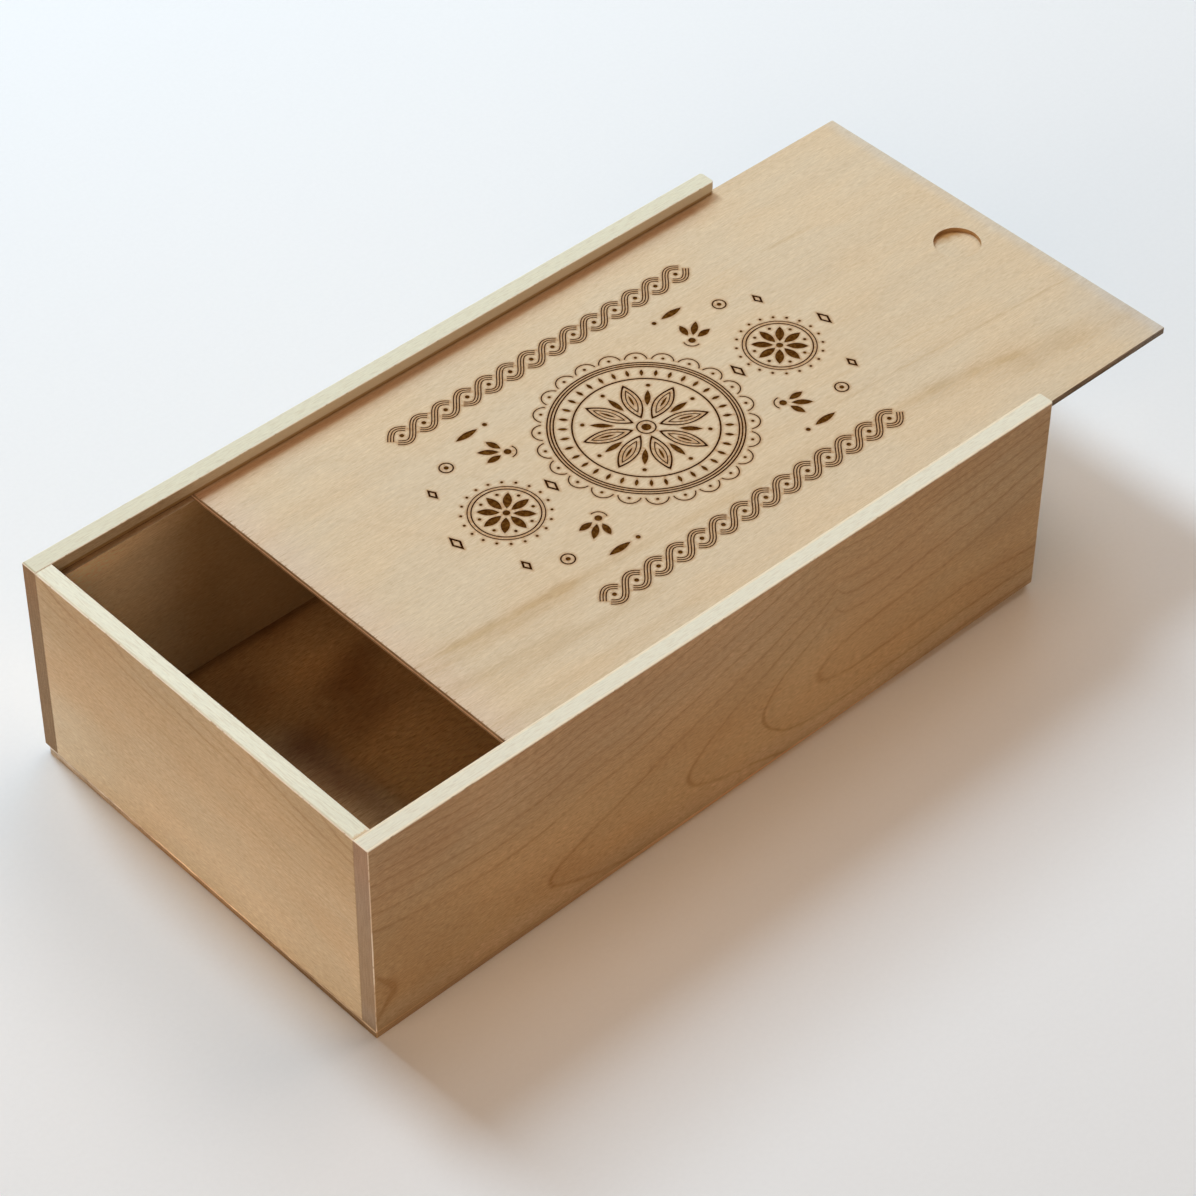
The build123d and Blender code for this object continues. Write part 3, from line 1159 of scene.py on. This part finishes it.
def lid_materials():
    """A material for each kind of face."""
    return {
        "top": veneer_material("lid_veneer", STREAKS, marks=lid_marks),
        "line": scorched_material("lid_scorch", (0.02, 0.0035, 0.0003), (0.064, 0.018, 0.001)),
        "filled": scorched_material("lid_burnt_fill", (0.07, 0.021, 0.0015), (0.16, 0.064, 0.01)),
        "recess": recess_material("recess_floor"),
        "recess wall": ply_edge_material("recess_wall", RECESS_PLY, RECESS_WALL),
        "edge": ply_edge_material("lid_edge", LID_PLY, LID_EDGE, marks=lid_edge_marks),
        "inner edge": ply_edge_material("lid_inner_edge", LID_PLY, LID_INNER_EDGE, plain=0.95),
        "underside": veneer_material("lid_underside", BOTTOM_STREAKS, 31),
    }


def bottom_materials():
    """A material for each kind of face."""
    return {
        "inside": floor_material("bottom_inside"),
        "underside": veneer_material("bottom_underside", BOTTOM_STREAKS, 17, (0.98, 0.93, 0.86)),
        "edge": ply_edge_material("bottom_edge", BOTTOM_PLY, BOTTOM_EDGE, 0.45, marks=bottom_end_marks),
        "near edge": ply_edge_material(
            "bottom_near_edge", BOTTOM_PLY, BOTTOM_NEAR_EDGE, 0.35, marks=bottom_near_marks
        ),
        "hole": ply_edge_material("brad_holes", BOTTOM_PLY, HOLE_WALL),
    }


def make_lid(materials):
    """The lid with its burnt engraving, thumb recess and three-ply edge; it stands for the CAD lid."""
    low, high = (np.array(corner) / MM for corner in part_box("lid_panel"))
    top = high[2]
    outlines, signs = zip(*engraving(DESIGN_CENTRE))
    drawn = np.array([point for outline in outlines for point in outline])
    tree = search_tree(drawn)
    recess = circle((RECESS_CENTRE, 0), RECESS_RADIUS)
    loops = [rounded_rectangle(low, high, PLY_ARRIS), recess, *outlines]

    def level_of(owner):
        if 1 in owner:
            return "recess"
        inside = [signs[i - 2] for i in owner if i > 1]
        if sum(inside) <= 0:
            return "top"
        return "filled" if FILLED in inside else "line"

    solid = Solid()
    solid.stepped(
        loops,
        smoke_points(tree, drawn.min(0) - 2, drawn.max(0) + 2),
        level_of,
        {
            "top": (top, "line"),
            "line": (top - ENGRAVED, "line"),
            "filled": (top - ENGRAVED, "filled"),
            "recess": (top - RECESS_DEPTH, "recess wall"),
        },
    )
    _, lower = solid.edge(lambda inset: rounded_rectangle(low, high, inset), top, top - low[2])
    solid.sheet(reversed(lower), "underside")
    lid = solid.into_object("lid_engraved", materials)
    repaint_edge(lid, materials, "inner edge", Vector((-1, 0, 0)))
    add_smoke(lid.data, tree, top)
    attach(lid, "lid")
    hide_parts("lid_panel")


def make_bottom(materials):
    """The plywood bottom, not quite square to the box, with its sunk nail holes."""
    low, high = (np.array(corner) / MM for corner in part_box("bottom_panel"))
    low[0], low[1], high[1] = -HALF_LENGTH, BOTTOM_NEAR, BOTTOM_FAR

    def outline_at(inset):
        """The outline, whose near side draws in towards the open end."""
        found = []
        for x, y in rounded_rectangle(low, high, inset):
            share = (x - low[0]) / (high[0] - low[0]) * (high[1] - y) / (high[1] - low[1])
            found.append((x, y + BOTTOM_TAPER * share))
        return found

    solid = Solid()
    solid.stepped(
        [outline_at(PLY_ARRIS)] + [circle(place, BRAD_HOLE) for place in BRAD_PLACES],
        [],
        lambda owner: "hole" if max(owner) > 0 else "underside",
        {"underside": (-low[2], "hole"), "hole": (-low[2] - BRAD_SINK, "hole")},
    )
    solid.turned_over()
    upper, _ = solid.edge(outline_at, high[2], high[2] - low[2])
    solid.sheet(upper, "inside")
    bottom = solid.into_object("bottom_sheet", materials)
    repaint_edge(bottom, materials, "near edge", Vector((0, -1, 0)))
    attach(bottom, "box")
    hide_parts("bottom_panel")


# ---- making the scene

EASED = 0.35  # rounding of the edges that the CAD leaves sharp
FLOOR_REACH = 3  # metres of table each way


def ease_edges(node):
    """Joins the CAD faces and rounds over the sharp edges that are left."""
    weld = node.modifiers.new("weld", "WELD")
    weld.merge_threshold = 0.01 * MM
    bevel = node.modifiers.new("ease", "BEVEL")
    bevel.width = EASED * MM
    bevel.segments = 2
    bevel.limit_method = "ANGLE"
    bevel.angle_limit = math.radians(50)


def dress(node, material):
    node.data.materials.clear()
    node.data.materials.append(material)


def make_floor():
    mesh = bpy.data.meshes.new("floor")
    corners = [(x * FLOOR_REACH, y * FLOOR_REACH, 0) for x, y in ((-1, -1), (1, -1), (1, 1), (-1, 1))]
    mesh.from_pydata(corners, [], [(0, 1, 2, 3)])
    floor = bpy.data.objects.new("floor", mesh)
    mesh.materials.append(paper_material("paper"))
    bpy.context.scene.collection.objects.link(floor)


def make_boards(nodes):
    for name, board in (
        ("front_side_board", (front_frame, crowned_rings, SIDE_TONES, 0, "x", front_marks, 1.25)),
        ("rear_side_board", (rear_frame, crowned_rings, REAR_TONES, 5, "x", rear_marks)),
        ("closed_end_board", (closed_frame, quiet_rings, END_TONES, 9, "y", end_marks)),
        ("open_end_board", (open_frame, quiet_rings, END_TONES, 13, "y", open_marks)),
    ):
        dress(nodes[name], wood_board(name + "_wood", *board))
        ease_edges(nodes[name])
    dress(nodes["bottom_brads"], steel_material("brad_wire"))


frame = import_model()
make_camera()
make_world()
make_floor()
for lamp in LAMPS:
    make_lamp(*lamp)
make_boards(frame["nodes"])
make_lid(lid_materials())
make_bottom(bottom_materials())
